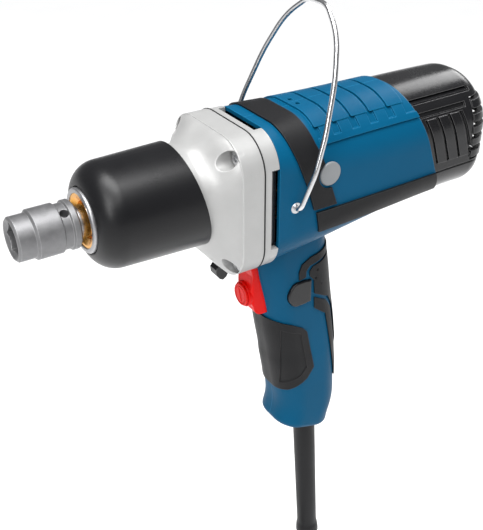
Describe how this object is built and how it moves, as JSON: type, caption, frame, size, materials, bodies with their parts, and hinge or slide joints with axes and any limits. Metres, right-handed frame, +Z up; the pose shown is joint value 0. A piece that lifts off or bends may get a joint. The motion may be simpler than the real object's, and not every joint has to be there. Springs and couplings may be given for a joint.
{
  "type": "impact wrench",
  "caption": "Corded pistol-grip impact wrench with a square drive, a fitted socket, a rubber-booted hammer case, a hanging bail and a coiled mains lead.",
  "frame": {"origin": "the middle of the grip, where a hand holds the tool", "axes": "+X back from the nose, parallel to the drive axis, +Y to the user's right, +Z up"},
  "size_m": [0.3235, 0.094, 0.758],
  "materials": {
    "blue_shell": "satin textured",
    "black_plastic": "satin textured",
    "black_rubber": "soft matt",
    "cast_alloy": "satin painted casting",
    "socket_steel": "satin phosphated",
    "polished_steel": "polished",
    "machined_steel": "ground",
    "spring_steel": "drawn wire",
    "laminations": "stacked sheet",
    "copper": "enamelled wire",
    "bronze": "turned",
    "brass": "pressed",
    "carbon": "matt",
    "trigger_red": "glossy",
    "zinc_steel": "zinc plated",
    "grey_plastic": "satin",
    "cord_jacket": "matt"
  },
  "bodies": {
    "tool": {"hammer_case": "cast_alloy", "nose_ring": "polished_steel", "bronze_bush": "bronze", "nose_boot": "black_rubber", "gear_cover": "cast_alloy", "case_screws": "zinc_steel", "ring_gear": "machined_steel", "front_bearing": "polished_steel", "rear_bearing": "polished_steel", "stator_core": "laminations", "field_coils": "copper", "brush_holders": "brass", "carbon_brushes": "carbon", "bearing_bracket": "black_plastic", "air_guide": "black_plastic", "left_housing": "blue_shell", "right_housing": "blue_shell", "housing_screws": "zinc_steel", "rear_cap": "black_plastic", "shoulder_strap": "black_rubber", "side_strip_left": "black_rubber", "side_strip_right": "black_rubber", "blank_badge": "grey_plastic", "front_grip_pad": "black_rubber", "rear_grip_pad": "black_rubber", "switch_body": "black_plastic", "suppression_capacitor": "grey_plastic", "cord_clamp": "black_plastic", "bail_bushes": "zinc_steel", "strain_relief": "black_rubber", "cord_lead": "cord_jacket", "cord_coil": "cord_jacket", "cord_tie": "black_rubber", "cord_tail": "cord_jacket", "plug_body": "black_rubber", "plug_pins": "polished_steel"},
    "armature": {"armature_shaft": "machined_steel", "armature_core": "laminations", "armature_windings": "copper", "commutator": "copper", "cooling_fan": "black_plastic"},
    "camshaft": {"camshaft_carrier": "machined_steel", "planet_pins": "polished_steel", "cam_balls": "polished_steel", "spring_washer": "machined_steel", "hammer_spring": "spring_steel"},
    "planet_1": {"planet_gear_1": "machined_steel"},
    "planet_2": {"planet_gear_2": "machined_steel"},
    "planet_3": {"planet_gear_3": "machined_steel"},
    "hammer": {"hammer": "machined_steel"},
    "anvil": {"anvil": "polished_steel", "impact_socket": "socket_steel", "socket_pin": "spring_steel"},
    "trigger": {"trigger": "trigger_red"},
    "speed_dial": {"speed_dial": "trigger_red"},
    "direction_lever": {"direction_lever": "black_plastic"},
    "lock_on_button": {"lock_on_button": "black_plastic"},
    "bail": {"suspension_bail": "polished_steel"}
  },
  "joints": [
    {"name": "armature_spin", "type": "hinge", "parent": "tool", "child": "armature", "pos_m": [-0.005, 0, 0.14], "axis": [1, 0, 0], "continuous": true},
    {"name": "camshaft_spin", "type": "hinge", "parent": "tool", "child": "camshaft", "pos_m": [-0.065, 0, 0.14], "axis": [1, 0, 0], "continuous": true},
    {"name": "anvil_spin", "type": "hinge", "parent": "tool", "child": "anvil", "pos_m": [-0.135, 0, 0.14], "axis": [1, 0, 0], "continuous": true},
    {"name": "planet_1_spin", "type": "hinge", "parent": "camshaft", "child": "planet_1", "pos_m": [-0.0645, 0, 0.155], "axis": [1, 0, 0], "continuous": true},
    {"name": "planet_2_spin", "type": "hinge", "parent": "camshaft", "child": "planet_2", "pos_m": [-0.0645, -0.01299, 0.1325], "axis": [1, 0, 0], "continuous": true},
    {"name": "planet_3_spin", "type": "hinge", "parent": "camshaft", "child": "planet_3", "pos_m": [-0.0645, 0.01299, 0.1325], "axis": [1, 0, 0], "continuous": true},
    {"name": "hammer_retract", "type": "slide", "parent": "camshaft", "child": "hammer", "axis": [1, 0, 0], "range_m": [0, 0.008], "stiffness_N_per_m": 6000, "springref_m": -0.003, "deforming": ["hammer_spring"]},
    {"name": "trigger_pull", "type": "slide", "parent": "tool", "child": "trigger", "axis": [1, 0, 0], "range_m": [0, 0.007], "stiffness_N_per_m": 1200, "springref_m": -0.004},
    {"name": "speed_dial_turn", "type": "hinge", "parent": "trigger", "child": "speed_dial", "pos_m": [-0.043, 0, 0.054], "axis": [1, 0, 0], "range_deg": [-140, 140]},
    {"name": "direction_swing", "type": "hinge", "parent": "tool", "child": "direction_lever", "pos_m": [-0.015, 0, 0.081], "axis": [0, 0, 1], "range_deg": [-8, 8]},
    {"name": "lock_on_press", "type": "slide", "parent": "tool", "child": "lock_on_button", "axis": [0, 1, 0], "range_m": [0, 0.003], "stiffness_N_per_m": 900, "springref_m": -0.002},
    {"name": "bail_swing", "type": "hinge", "parent": "tool", "child": "bail", "pos_m": [-0.0304, 0, 0.1313], "axis": [0, 1, 0], "range_deg": [-80, 34]}
  ],
  "couplings": [
    {"joint": "camshaft_spin", "follows": "armature_spin", "ratio": 0.15},
    {"joint": "anvil_spin", "follows": "armature_spin", "ratio": 0.15},
    {"joint": "planet_1_spin", "follows": "armature_spin", "ratio": -0.36429},
    {"joint": "planet_2_spin", "follows": "armature_spin", "ratio": -0.36429},
    {"joint": "planet_3_spin", "follows": "armature_spin", "ratio": -0.36429}
  ]
}
